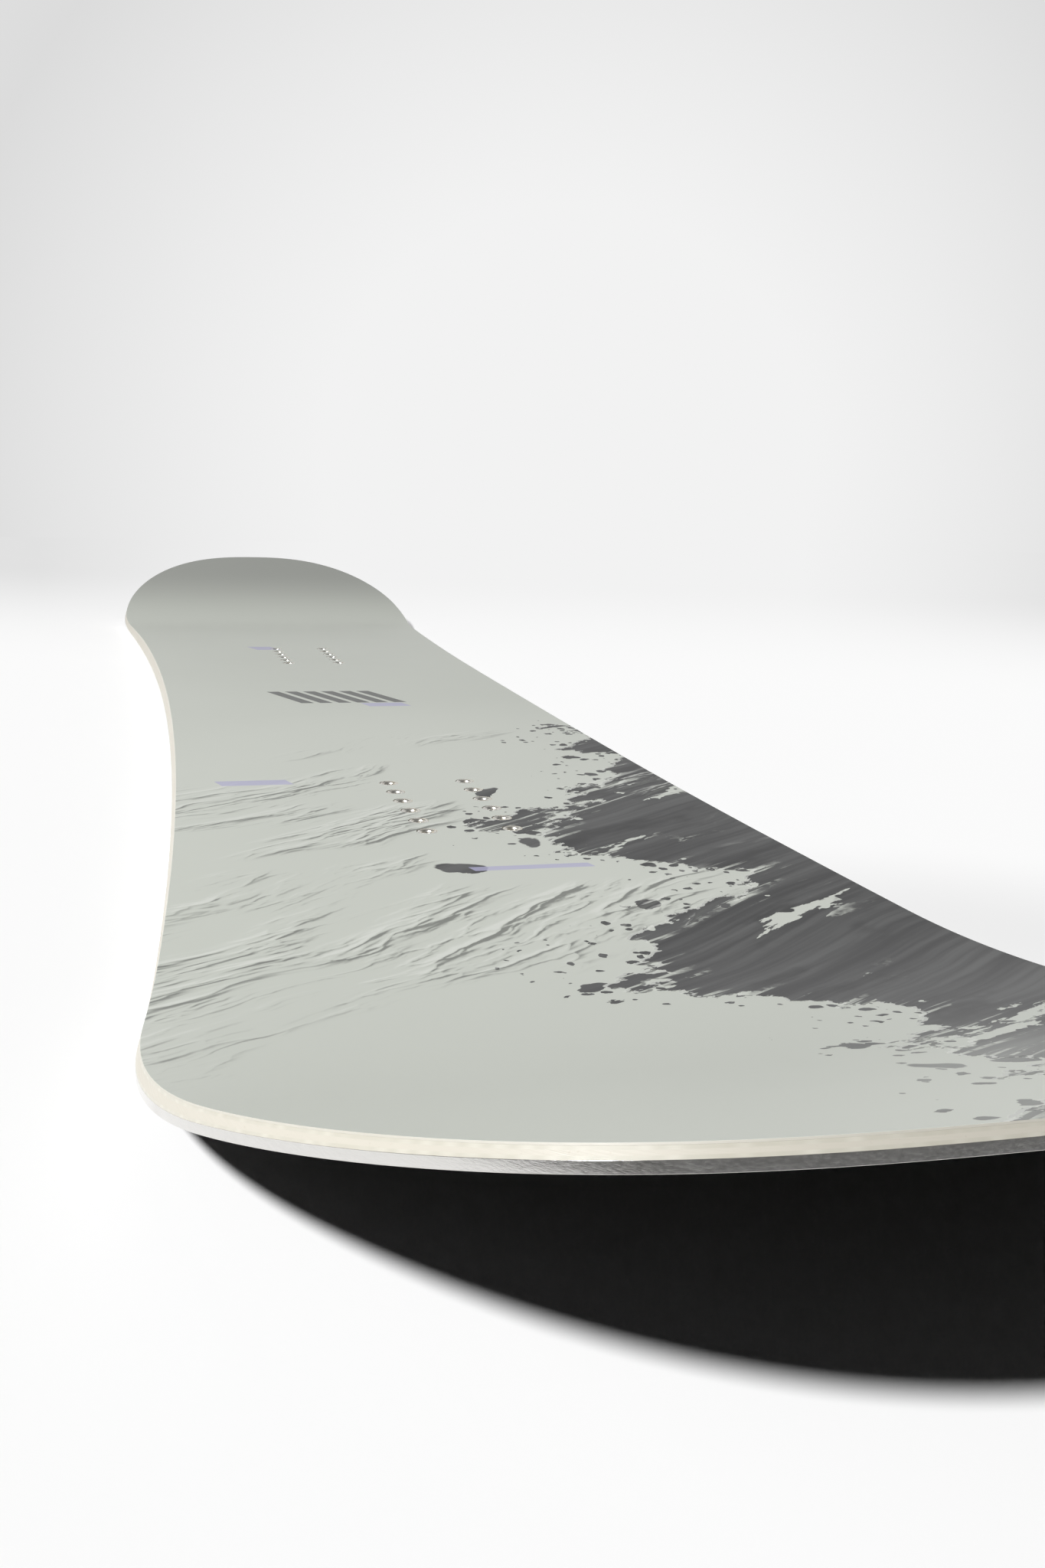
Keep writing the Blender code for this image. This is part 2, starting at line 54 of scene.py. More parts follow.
PACKS = {"nose": -0.280, "tail": 0.280}
PACK_HALF_LENGTH = 0.065

# Layer heights above the running surface, or below the top where they say depth
BOND = 0.0002
BASE_TOP = 0.0014
TOOTH_TOP = 0.0018
STEEL_TOP = 0.0024
GLASS_FIELD = 0.0014
CORE_FIELD = 0.0021
CORE_RIM = 0.0031
FILM_DEPTH = 0.0005
UPPER_GLASS_DEPTH = 0.0012
MIDDLE_THICKNESS = 0.0105
TIP_THICKNESS = 0.0052
TAPER_START = 0.350

# Widths in from the rim, and the steel's teeth
STEEL_WIDTH = 0.0022
BASE_FIT = 0.00004
JOGGLE_INSET = 0.0086
SIDEWALL_WIDTH = 0.0110
BEVEL_ANGLE = math.radians(15.0)
TOOTH_PITCH = 0.050
TOOTH_SHARE = 0.6
TOOTH_LENGTH = 0.0060
STEEL_END_GAP = 0.0002

# Inserts
ROW_LENGTH = 6
ROW_STEP = 0.020
ROW_SIDES = (("left", -0.020), ("right", 0.020))
HOLE_RADIUS = 0.0048
FLANGE_RADIUS = 0.0080
FLANGE_THICKNESS = 0.0010
BARREL_RADIUS = 0.0045
CHAMFER = 0.0002
RING_RADIUS = 0.0036
RING_DISH = 0.00002
THREAD_ROOT = 0.0030
THREAD_CREST = 0.00252
THREAD_PITCH = 0.0010
THREAD_TURNS = 5
THREAD_START = 0.0008
DRILL_RADIUS = 0.0025
DRILL_DEPTH = 0.0070
BELOW_FILM = 0.0001

# Rounding of cut corners
BASE_ROUNDING = 0.00006
STEEL_ROUNDING = 0.00010
FILM_ROUNDING = 0.00022

# How fine the meshes are
OUTLINE_SAMPLES = 900
OUTLINE_TURN = math.radians(1.4)
PROFILE_TURN = math.radians(0.6)
LONGEST_STEP = 0.022
STATION_ROOM = 0.002
TOOTH_ROOM = 0.0012
SPIN_STEPS = 36
HOLE_SIDES = 48
CUTTER_LENGTH = 0.030
CORNER_ANGLE = math.radians(50)
SMALL = 1e-6
HAIR = 5e-6

# Lamp, floor, backdrop and camera
LAMP_AIM = Vector((0.649, 0.283, -0.706)).normalized()
LAMP_TARGET = Vector((0, -0.60, 0.02))
LAMP_DISTANCE = 5.5
LAMP_SPOT = LAMP_TARGET - LAMP_DISTANCE * LAMP_AIM
LAMP_POWER = 425.0
LAMP_SIZE = 0.62
FLOOR_MIDDLE = (0, -0.40, 0)
FLOOR_HALF_SIZE = (4.0, 2.60)
FLOOR_PAINT = 0.91
FLOOR_PAINT_BEHIND = 0.40
FLOOR_LIGHT = 0.955
SHADOW_SPOT = (0.06, -0.64, 0)
BACKDROP = (0.2823, 0.9593, 0.0)
BACKDROP_SIDE = (0.9593, -0.2823, 0.0)
BACKDROP_OFFSET = 0.13
WALL_LIGHT = 0.86
WALL_MIDDLE, WALL_FALL = 0.923, -1.45
WALL_DARKEST, WALL_BRIGHTEST = 0.755, 0.888
CAMERA_SPOT = (-0.15534, -0.99318, 0.17715)
CAMERA_TURN, CAMERA_TILT, CAMERA_ROLL = -0.2645, -0.2083, -0.0297
CAMERA_LENS, CAMERA_SENSOR = 35.18, 36.0


# Deck shape

def running_height(y):
    """Height of the base along the deck: camber arch, tips bent up, straight under each pack of inserts."""
    def curve(y):
        share = np.clip((y - (NOSE_CONTACT + TAIL_CONTACT) / 2) / ((TAIL_CONTACT - NOSE_CONTACT) / 2), -1, 1)
        height = CAMBER / 2 * (1 + np.cos(math.pi * share))
        for distance, (radius, angle) in ((NOSE_CONTACT - y, NOSE_BEND), (y - TAIL_CONTACT, TAIL_BEND)):
            distance = np.clip(distance, 0, None)
            arc_end = radius * math.sin(angle)
            height = height + radius - np.sqrt(radius ** 2 - np.clip(distance, None, arc_end) ** 2)
            height = height + np.clip(distance - arc_end, 0, None) * math.tan(angle)
        return height

    y = np.asarray(y, dtype=float)
    height = curve(y)
    for centre in PACKS.values():
        ends = centre + np.array((-PACK_HALF_LENGTH, PACK_HALF_LENGTH))
        height = np.where((y > ends[0]) & (y < ends[1]), np.interp(y, ends, curve(ends)), height)
    return height


def slope_at(y):
    """Slope angle of the base along the deck."""
    reach = 0.0005
    return np.arctan((running_height(y + reach) - running_height(y - reach)) / (2 * reach))


def press(points):
    """Flat points, with their height above the base as Z, moved to the pressed deck."""
    x, y, level = np.asarray(points, dtype=float).T
    slope = slope_at(y)
    return np.column_stack((x, y - level * np.sin(slope), running_height(y) + level * np.cos(slope)))


def thickness_at(y):
    """Whole thickness of the deck along its length."""
    share = np.clip((np.abs(y) - TAPER_START) / (LENGTH / 2 - TAPER_START), 0, 1)
    return MIDDLE_THICKNESS + (TIP_THICKNESS - MIDDLE_THICKNESS) * share ** 2 * (3 - 2 * share)


def up(height):
    """Level at a height above the base."""
    return lambda y: np.full_like(y, height)


def down(depth):
    """Level at a depth below the top."""
    return lambda y: thickness_at(y) - depth


def outline():
    """Right half of the outline from nose to tail: x, y, inward direction and distance along it."""
    def tip(shape, half_width, flare):
        length, along, across = shape
        share = np.sin(np.linspace(0, math.pi / 2, OUTLINE_SAMPLES)) ** (2 / along)
        swell = half_width + flare * length * share * (1 - share) ** 2
        return length * share, swell * np.clip(1 - share ** along, 0, None) ** (1 / across)

    side_y = np.linspace(NOSE_ROUND[0] - LENGTH / 2, LENGTH / 2 - TAIL_ROUND[0], OUTLINE_SAMPLES)
    side_x = WAIST_WIDTH / 2 + (side_y - WAIST_OFFSET) ** 2 / (2 * SIDECUT_RADIUS)
    nose_y, nose_x = tip(NOSE_ROUND, side_x[0], (WAIST_OFFSET - side_y[0]) / SIDECUT_RADIUS)
    tail_y, tail_x = tip(TAIL_ROUND, side_x[-1], (side_y[-1] - WAIST_OFFSET) / SIDECUT_RADIUS)
    x = np.concatenate((nose_x[::-1], side_x[1:-1], tail_x))
    y = np.concatenate((side_y[0] - nose_y[::-1], side_y[1:-1], side_y[-1] + tail_y))
    run_x = np.diff(np.concatenate(([-x[1]], x, [-x[-2]])))
    run_y = np.diff(np.concatenate(([y[1]], y, [y[-2]])))
    tangent = np.array((run_x[1:] + run_x[:-1], run_y[1:] + run_y[:-1]))
    tangent /= np.hypot(*tangent)
    distance = np.concatenate(([0], np.cumsum(np.hypot(np.diff(x), np.diff(y)))))
    return x, y, -tangent[1], tangent[0], distance


RIM = outline()
RIM_LENGTH = RIM[4][-1]


def fine_stations():
    """Distances along the outline, close together where it turns or bends."""
    _, y, inward_x, inward_y, distance = RIM
    turning = np.abs(np.diff(np.unwrap(np.arctan2(inward_x, inward_y))))
    bending = np.abs(np.diff(slope_at(y)))
    steps = turning / OUTLINE_TURN + bending / PROFILE_TURN + np.diff(distance) / LONGEST_STEP
    effort = np.concatenate(([0], np.cumsum(steps)))
    even = np.interp(np.linspace(0, effort[-1], math.ceil(effort[-1]) + 1), effort, distance)
    ends = [centre + side * PACK_HALF_LENGTH for centre in PACKS.values() for side in (-1, 1)]
    fixed = np.interp(ends + [NOSE_CONTACT, TAIL_CONTACT], y, distance)
    spare = [station for station in even if np.min(np.abs(fixed - station)) > STATION_ROOM]
    return np.sort(np.concatenate((fixed, spare)))


STATIONS = fine_stations()


def rim_line(level, inset=None, stations=STATIONS):
    """Points along the right rim at a level, at an inset or on the bevelled side, a hair inside the CAD."""
    x, y, inward_x, inward_y = (np.interp(stations, RIM[4], values) for values in RIM[:4])
    size = np.hypot(inward_x, inward_y)
    height = level(y)
    if inset is None:
        inset = np.clip(height - STEEL_TOP + BOND, 0, None) * math.tan(BEVEL_ANGLE)
    inset = inset + HAIR
    return np.column_stack((x + inward_x / size * inset, y + inward_y / size * inset, height))


# Work with Blender's tools

def nothing_selected():
    """Deselect every object."""
    if bpy.context.mode != "OBJECT":
        bpy.ops.object.mode_set(mode="OBJECT")
    bpy.ops.object.select_all(action="DESELECT")


def pick(piece):
    """Select one piece and nothing else."""
    nothing_selected()
    bpy.context.view_layer.objects.active = piece
    piece.select_set(True)


def name_new(name):
    """Name the piece that was just added, and hand it over."""
    piece = bpy.context.object
    piece.name = piece.data.name = name
    return piece


def copy_piece(piece, name):
    """A copy of a piece, with its own mesh."""
    pick(piece)
    bpy.ops.object.duplicate()
    return name_new(name)


def edit(piece, select="SELECT"):
    """Open a piece in edit mode, all selected or none."""
    pick(piece)
    bpy.ops.object.mode_set(mode="EDIT")
    bpy.ops.mesh.select_mode(type="FACE")
    bpy.ops.mesh.select_all(action=select)


def close_edit():
    """Leave edit mode."""
    bpy.ops.object.mode_set(mode="OBJECT")


def apply_modifier(piece, kind, **settings):
    """Add a modifier with its settings and apply it."""
    pick(piece)
    modifier = piece.modifiers.new(kind.title(), kind)
    for name, value in settings.items():
        setattr(modifier, name, value)
    bpy.ops.object.modifier_apply(modifier=modifier.name)


def lay_strip(name, lines, pinched=True, teeth=()):
    """A flat grid folded round into a closed band through lines that run along the deck, still unpressed."""
    nothing_selected()
    lines = np.array(list(lines) + [lines[0]])
    bpy.ops.mesh.primitive_grid_add(x_subdivisions=lines.shape[1] - 1, y_subdivisions=len(lines) - 1, size=1)
    piece = name_new(name)
    piece.data.vertices.foreach_set("co", lines.reshape(-1, 3).ravel())
    piece.data.update()
    if len(teeth):
        edit(piece, select="DESELECT")
        close_edit()
        piece.data.polygons.foreach_set("select", teeth)
        bpy.ops.object.mode_set(mode="EDIT")
        bpy.ops.mesh.extrude_region_move()
        bpy.ops.transform.shrink_fatten(value=TOOTH_LENGTH, use_even_offset=True)
        close_edit()
    edit(piece)
    bpy.ops.mesh.remove_doubles(threshold=SMALL)
    if not pinched:
        bpy.ops.mesh.fill_holes(sides=0)
    bpy.ops.mesh.normals_make_consistent(inside=False)
    close_edit()
    return piece


def mirror_lines(lines):
    """The lines of a full-width sheet, from those of its right half."""
    return list(lines) + [line * (-1, 1, 1) for line in reversed(lines)]


def cut_across(piece, y, keep):
    """Saw an unpressed piece across and close the cut, keeping the tail side for +1, the nose side for -1."""
    edit(piece)
    bpy.ops.mesh.bisect(plane_co=(0, y, 0), plane_no=(0, keep, 0), use_fill=True, clear_inner=True)
    bpy.ops.mesh.select_all(action="SELECT")
    bpy.ops.mesh.normals_make_consistent(inside=False)
    close_edit()


def press_piece(piece, rounding=0.0, segments=2):
    """Press a piece to the deck's side profile and take the sharpness off its corners."""
    points = np.empty(len(piece.data.vertices) * 3)
    piece.data.vertices.foreach_get("co", points)
    piece.data.vertices.foreach_set("co", press(points.reshape(-1, 3)).ravel())
    piece.data.update()
    if rounding:
        apply_modifier(
            piece, "BEVEL", width=rounding, segments=segments, limit_method="ANGLE",
            angle_limit=CORNER_ANGLE, use_clamp_overlap=True,
        )


def mirror_copy(piece, name):
    """The same piece on the deck's other side."""
    other = copy_piece(piece, name)
    edit(other)
    bpy.ops.transform.mirror(constraint_axis=(True, False, False), center_override=(0, 0, 0))
    bpy.ops.mesh.normals_make_consistent(inside=False)
    close_edit()
    return other


def turned_piece(name, profile):
    """A turned piece: a profile of (radius, height) spun about Z, closed at both ends on the axis."""
    nothing_selected()
    bpy.ops.mesh.primitive_plane_add(size=0.001)
    piece = name_new(name)
    bpy.ops.object.mode_set(mode="EDIT")
    bpy.ops.mesh.select_mode(type="VERT")
    bpy.ops.mesh.merge(type="CENTER")
    for radius, height in profile:
        bpy.ops.mesh.extrude_region_move()
        close_edit()
        for vert in piece.data.vertices:
            if vert.select:
                vert.co = (radius, 0, height)
        bpy.ops.object.mode_set(mode="EDIT")
    close_edit()
    piece.data.vertices[0].co = (profile[0][0], 0, profile[0][1])
    edit(piece)
    bpy.ops.mesh.remove_doubles(threshold=SMALL)
    bpy.ops.mesh.spin(steps=SPIN_STEPS, angle=2 * math.pi, center=(0, 0, 0), axis=(0, 0, 1))
    bpy.ops.mesh.select_all(action="SELECT")
    bpy.ops.mesh.remove_doubles(threshold=SMALL)
    bpy.ops.mesh.normals_make_consistent(inside=False)
    close_edit()
    return piece


def dress(piece, material, slot, *nodes, angle=40):
    """Smooth a finished piece, give it its material and let it stand for its CAD nodes."""
    pick(piece)
    bpy.ops.object.shade_smooth_by_angle(angle=math.radians(angle))
    apply_modifier(piece, "WEIGHTED_NORMAL", keep_sharp=True, weight=90)
    if not piece.data.materials:
        piece.data.materials.append(material)
    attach(piece, "root")
    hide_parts(*nodes)


# Materials

class Nodes:
    """A node tree, with short ways to add nodes to it."""

    def __init__(self, tree):
        self.tree = tree

    def add(self, kind, values, output=0, **settings):
        """Add a node, with values or links for its inputs by name or number, and hand over one output."""
        node = self.tree.nodes.new(kind)
        for name, value in settings.items():
            setattr(node, name, value)
        for name, value in values.items():
            if isinstance(value, bpy.types.NodeSocket):
                self.tree.links.new(value, node.inputs[name])
            else:
                node.inputs[name].default_value = value
        return node.outputs[output]

    def math(self, operation, *values, clamp=False):
        """A sum of one or more numbers."""
        return self.add("ShaderNodeMath", dict(enumerate(values)), operation=operation, use_clamp=clamp)

    def vector(self, operation, *values, output=0):
        """A vector sum, with its number as output 1."""
        return self.add("ShaderNodeVectorMath", dict(enumerate(values)), output=output, operation=operation)

    def axis(self, where, number):
        """One of a place's three coordinates."""
        return self.add("ShaderNodeSeparateXYZ", {0: where}, output=number)

    def grey(self, colour):
        """A grey colour as a number."""
        return self.add("ShaderNodeSeparateColor", {0: colour})

    def ramp(self, value, low, high, first=0.0, last=1.0, soft=True):
        """Map low to high onto first to last."""
        return self.add(
            "ShaderNodeMapRange",
            {"Value": value, "From Min": low, "From Max": high, "To Min": first, "To Max": last},
            interpolation_type="SMOOTHSTEP" if soft else "LINEAR",
        )

    def rays(self, first, *others):
        """1 for light rays of the named kinds, 0 for all others."""
        share = self.add("ShaderNodeLightPath", {}, output=first)
        for kind in others:
            share = self.math("MAXIMUM", share, self.add("ShaderNodeLightPath", {}, output=kind))
        return share


class Finish(Nodes):
    """A material and its node tree."""

    def __init__(self, name, roughness=0.5, metallic=0.0, ior=1.5):
        self.material = bpy.data.materials.new(name)
        self.material.use_nodes = True
        super().__init__(self.material.node_tree)
        self.shader = self.tree.nodes["Principled BSDF"]
        self.set("Roughness", roughness)
        self.set("Metallic", metallic)
        self.set("IOR", ior)
        self.place = self.add("ShaderNodeTexCoord", {}, output="Object")

    def set(self, name, value):
        """Set one of the shader's sockets, to a value or to a node's output."""
        socket = self.shader.inputs[name]
        if isinstance(value, bpy.types.NodeSocket):
            self.tree.links.new(value, socket)
        else:
            socket.default_value = value

    def mix(self, share, first, second):
        """Mix two colours."""
        first, second = ((*colour, 1) if isinstance(colour, tuple) else colour for colour in (first, second))
        return self.add("ShaderNodeMix", {0: share, 6: first, 7: second}, output=2, data_type="RGBA")

    def stretch(self, scale, turn=0.0):
        """Coordinates stretched along the piece's own directions."""
        return self.add("ShaderNodeMapping", {"Vector": self.place, "Rotation": (0, 0, turn), "Scale": scale})

    def noise(self, where, scale, detail=3.0, roughness=0.5, output=0):
        """Soft noise, as a number from 0 to 1, or as a colour for output 1."""
        return self.add(
            "ShaderNodeTexNoise",
            {"Vector": where, "Scale": scale, "Detail": detail, "Roughness": roughness}, output=output,
        )

    def warp(self, where, scale, reach, detail=3.0):
        """Coordinates pushed about by noise."""
        push = self.vector("SUBTRACT", self.noise(where, scale, detail, output=1), (0.5, 0.5, 0.5))
        push = self.vector("MULTIPLY", push, (reach * 2, reach * 2, 0))
        return self.vector("ADD", where, push)

    def relief(self, height, depth, strength=1.0):
        """Surface relief of a real depth in metres."""
        bump = self.add("ShaderNodeBump", {"Height": height, "Distance": depth, "Strength": strength})
        self.set("Normal", bump)


class PrintedFilm(Finish):
    """The topsheet's printed film, with the strokes, crests, blots and bars of its print."""

    # Directions along and across the brush
    stroke = (0.80, 0.60, 0.0)
    across = (-0.60, 0.80, 0.0)
    # The charcoal's edge: its start and end along the deck, how far aside it may lie, and its bends as (y, x)
    ink_ends = (-0.80, -0.02)
    ink_reach = 0.20
    ink_bends = (
        (-0.80, -0.045), (-0.69, -0.005), (-0.61, 0.062), (-0.52, 0.010), (-0.43, 0.078), (-0.34, 0.030),
        (-0.22, 0.098), (-0.12, 0.112), (-0.02, 0.190),
    )

    def brushed(self, where, length, width, seed, detail=5.0, roughness=0.6):
        """Noise drawn out along the brush, with spots of a length and width in metres."""
        along = self.math("MULTIPLY", self.vector("DOT_PRODUCT", where, self.stroke, output=1), 1 / length)
        beside = self.math("MULTIPLY", self.vector("DOT_PRODUCT", where, self.across, output=1), 1 / width)
        spot = self.add("ShaderNodeCombineXYZ", {0: along, 1: beside, 2: seed})
        return self.noise(spot, 1.0, detail, roughness)

    def ink_line(self, y):
        """How far right the charcoal begins, as a smooth curve along the nose half."""
        start, end = self.ink_ends
        curve = self.tree.nodes.new("ShaderNodeFloatCurve")
        points = curve.mapping.curves[0].points
        for number, (bend_y, bend_x) in enumerate(self.ink_bends):
            spot = ((bend_y - start) / (end - start), (bend_x + self.ink_reach) / (2 * self.ink_reach))
            if number in (0, len(self.ink_bends) - 1):
                points[min(number, 1)].location = spot
            else:
                points.new(*spot)
        curve.mapping.update()
        self.tree.links.new(self.ramp(y, start, end, soft=False), curve.inputs["Value"])
        return self.math("MULTIPLY_ADD", curve.outputs[0], 2 * self.ink_reach, -self.ink_reach)

    def ink_depth(self, where):
        """Distance in metres from the charcoal's ragged edge, above 0 inside it."""
        y = self.axis(where, 1)
        depth = self.math("SUBTRACT", self.axis(where, 0), self.ink_line(y))
        depth = self.math("SUBTRACT", depth, self.ramp(y, -0.08, 0.06, 0.097, 0.250))
        coarse = self.brushed(where, 0.085, 0.040, seed=1.7, detail=6.0, roughness=0.64)
        depth = self.math("MULTIPLY_ADD", coarse, 0.17, depth)
        fine = self.brushed(where, 0.010, 0.008, seed=8.3, detail=3.0)
        return self.math("MULTIPLY_ADD", fine, 0.024, depth)

    def knifed(self, where):
        """Height of the knifed paint: long crests in loose bands."""
        swirl = self.warp(self.warp(where, 4.5, 0.045, detail=2.0), 55.0, 0.0022)
        crests = 0.0
        for length, width, seed, share in ((0.190, 0.042, 5.1, 1.0), (0.070, 0.015, 11.3, 0.35)):
            fold = self.brushed(swirl, length, width, seed, detail=4.0, roughness=0.5)
            fold = self.math("MULTIPLY_ADD", fold, 2.0, -1.0)
            fold = self.math("POWER", self.math("SUBTRACT", 1.0, self.math("ABSOLUTE", fold)), 10.0)
            crests = self.math("MULTIPLY_ADD", fold, share, crests)
        along = self.math("MULTIPLY_ADD", self.axis(swirl, 0), -0.55, self.axis(swirl, 1))
        band = self.math("MULTIPLY", self.ramp(along, -0.58, -0.44), self.ramp(along, -0.06, -0.20))
        gaps = self.brushed(where, 0.200, 0.080, seed=2.4, detail=2.0)
        band = self.math("MULTIPLY", band, self.ramp(gaps, 0.45, 0.58))
        return self.math("MULTIPLY", crests, band)

    def paint_height(self, where, depth):
        """Height of all the paint: the charcoal's raised edge and the crests."""
        return self.math("MULTIPLY_ADD", self.ramp(depth, -0.0012, 0.0014), 0.55, self.knifed(where))

    def drops(self, scale, smallest, reach, seed, share):
        """Blots flung off the brush, smaller and fewer where their share falls."""
        where = self.warp(self.place, scale * 0.9, 0.42 / scale, detail=2.0)
        where = self.vector("ADD", self.warp(where, scale * 4.0, 0.10 / scale), (seed, seed, 0))
        cell = self.tree.nodes.new("ShaderNodeTexVoronoi")
        cell.voronoi_dimensions = "2D"
        cell.inputs["Scale"].default_value = scale
        self.tree.links.new(where, cell.inputs["Vector"])
        draw = self.math("MULTIPLY", self.grey(cell.outputs["Color"]), share)
        radius = self.ramp(draw, smallest, 1.0, -0.05, reach, soft=False)
        return self.ramp(self.math("SUBTRACT", radius, cell.outputs["Distance"]), -0.01, 0.02)

    def bar(self, centre, half_length, half_width, lean):
        """Plain printed bar, leaning by a share of its width."""
        where = self.vector("SUBTRACT", self.place, (*centre, 0))
        y = self.axis(where, 1)
        x = self.math("MULTIPLY_ADD", y, lean, self.axis(where, 0))
        inside = self.math("LESS_THAN", self.math("ABSOLUTE", x), half_length)
        return self.math("MULTIPLY", inside, self.math("LESS_THAN", self.math("ABSOLUTE", y), half_width))


def topsheet_finish():
    """Satin film, printed pale sage with thick charcoal brushwork, knifed ridges and small lavender bars."""
    film = PrintedFilm("sage_print", ior=1.47)
    place = film.warp(film.place, 5.0, 0.012)
    depth = film.ink_depth(place)
    paint = film.paint_height(place, depth)
    # Relief shade: the paint's height sampled a little aside, so each crest and the charcoal's raised edge
    # comes out darker on one side and lighter on the other, as if lit from one side.
    beside = film.vector("ADD", place, (-0.0010, 0.0007, 0))
    painted_relief_shade = film.math("SUBTRACT", film.paint_height(beside, film.ink_depth(beside)), paint)

    bristles = film.brushed(place, 0.120, 0.0036, seed=4.4, detail=4.0, roughness=0.55)
    strands = film.brushed(place, 0.260, 0.014, seed=15.2, detail=4.0, roughness=0.55)
    strands = film.math("MULTIPLY_ADD", strands, 0.55, film.math("MULTIPLY", bristles, 0.45))
    islands = film.ramp(film.brushed(place, 0.120, 0.030, seed=21.7, detail=6.0), 0.615, 0.622)
    islands = film.math("MULTIPLY", islands, film.ramp(depth, 0.090, 0.060))
    ink = film.math("SUBTRACT", film.ramp(depth, -0.0005, 0.0005), islands, clamp=True)
    dry = film.math("MULTIPLY", film.ramp(bristles, 0.56, 0.61), film.ramp(depth, 0.030, 0.006))
    ink = film.math("MULTIPLY", ink, film.math("SUBTRACT", 1.0, film.math("MULTIPLY", dry, 0.85)))

    near = film.ramp(depth, -0.080, -0.010)
    far = film.ramp(depth, -0.220, -0.060, 0.0, 0.98)
    blots = film.drops(150.0, 0.55, 0.42, 0.0, near)
    blots = film.math("MAXIMUM", blots, film.drops(58.0, 0.78, 0.40, 6.2, near))
    blots = film.math("MAXIMUM", blots, film.drops(24.0, 0.84, 0.30, 3.1, far))
    pale = film.drops(85.0, 0.72, 0.36, 9.4, film.ramp(depth, 0.070, 0.0))
    cover = film.math("SUBTRACT", film.math("MAXIMUM", ink, blots), pale, clamp=True)

    cloud = film.ramp(film.noise(place, 2.2, 4.0), 0.3, 0.7)
    sage = film.mix(cloud, (0.558, 0.580, 0.527), (0.600, 0.622, 0.568))
    # Painted shade: the sage darkens towards the raised tail tip, standing for the lesser light and sheen the
    # tip catches.
    sage = film.mix(film.ramp(film.axis(film.place, 1), 0.57, 0.74), sage, (0.347, 0.356, 0.331))
    charcoal = film.mix(film.ramp(strands, 0.36, 0.66), (0.018, 0.018, 0.019), (0.082, 0.084, 0.083))
    pools = film.ramp(film.brushed(place, 0.090, 0.030, seed=13.1, detail=4.0), 0.52, 0.66, 0.0, 0.85)
    charcoal = film.mix(pools, charcoal, (0.009, 0.009, 0.0095))
    # Paler grey smears over the charcoal towards the raised nose: part printed smear, part painted sheen of
    # the gloss there.
    smear_and_sheen = film.ramp(film.brushed(place, 0.25, 0.05, seed=7.7, detail=4.0), 0.36, 0.62)
    smear_and_sheen = film.math("MULTIPLY", film.ramp(film.axis(place, 1), -0.60, -0.72), smear_and_sheen)
    charcoal = film.mix(film.math("MULTIPLY", smear_and_sheen, 0.75), charcoal, (0.310, 0.318, 0.300))
    colour = film.mix(cover, sage, charcoal)
    # Painted shade and painted highlight along each crest and the charcoal's edge, also standing for the
    # shading printed in the artwork.
    colour = film.mix(film.ramp(painted_relief_shade, 0.015, 0.22, 0.0, 0.78), colour, (0.105, 0.110, 0.100))
    colour = film.mix(film.ramp(painted_relief_shade, -0.015, -0.24, 0.0, 0.70), colour, (0.700, 0.715, 0.670))

    for centre, half_length, half_width in (
        ((-0.088, -0.222), 0.018, 0.0055), ((0.012, -0.395), 0.026, 0.0030),
        ((0.020, 0.010), 0.014, 0.0070), ((-0.030, 0.335), 0.010, 0.0120),
    ):
        lavender = film.math("MULTIPLY", film.bar(centre, half_length, half_width, 0.3), 0.75)
        colour = film.mix(lavender, colour, (0.42, 0.41, 0.60))
    for number in range(6):
        mark = film.bar((-0.040 + number * 0.0125, 0.045), 0.0042, 0.026, 0.35)
        colour = film.mix(film.math("MULTIPLY", mark, 0.85), colour, (0.060, 0.060, 0.062))
    film.set("Base Color", colour)
    film.set("Roughness", film.ramp(cover, 0.0, 1.0, 0.45, 0.44, soft=False))
    film.relief(film.math("MULTIPLY_ADD", film.noise(film.place, 900.0, 2.0), 0.04, paint), 0.00020, 0.6)
    return film.material


def film_rim_finish():
    """Cut rim of the clear topsheet film."""
    rim = Finish("film_rim", roughness=0.45)
    specks = rim.noise(rim.stretch((300, 300, 1500)), 1.0)
    rim.set("Base Color", rim.mix(specks, (0.50, 0.48, 0.42), (0.56, 0.54, 0.48)))
    rim.relief(specks, 0.00003)
    return rim.material


def sidewall_finish():
    """Cream sidewall plastic, milled along the side and faintly speckled."""
    cream = Finish("cream_sidewall")
    cloud = cream.noise(cream.place, 18.0, 4.0)
    milled = cream.noise(cream.stretch((40, 14, 2600)), 1.0, 4.0, 0.6)
    speck = cream.ramp(cream.noise(cream.place, 1400.0, 2.0), 0.66, 0.74)
    colour = cream.mix(cloud, (0.522, 0.491, 0.421), (0.573, 0.547, 0.481))
    colour = cream.mix(cream.math("MULTIPLY", speck, 0.35), colour, (0.45, 0.40, 0.32))
    colour = cream.mix(cream.ramp(milled, 0.62, 0.80, 0.0, 0.4), colour, (0.58, 0.53, 0.44))
    cream.set("Base Color", colour)
    cream.set("Roughness", cream.ramp(milled, 0.2, 0.8, 0.36, 0.55))
    cream.relief(milled, 0.00006, 0.7)
    return cream.material


def steel_finish():
    """Ground edge steel with fine lines along the edge and a little wear."""
    steel = Finish("ground_steel", metallic=1.0)
    lines = steel.noise(steel.stretch((900, 16, 2400)), 1.0, 4.0, 0.65)
    cloud = steel.noise(steel.place, 25.0)
    colour = steel.mix(lines, (0.70, 0.690, 0.668), (0.90, 0.885, 0.855))
    colour = steel.mix(steel.ramp(cloud, 0.60, 0.78, 0.0, 0.25), colour, (0.36, 0.31, 0.26))
    steel.set("Base Color", colour)
    steel.set("Roughness", steel.ramp(lines, 0.2, 0.8, 0.12, 0.24))
    steel.relief(lines, 0.00003, 0.6)
    return steel.material


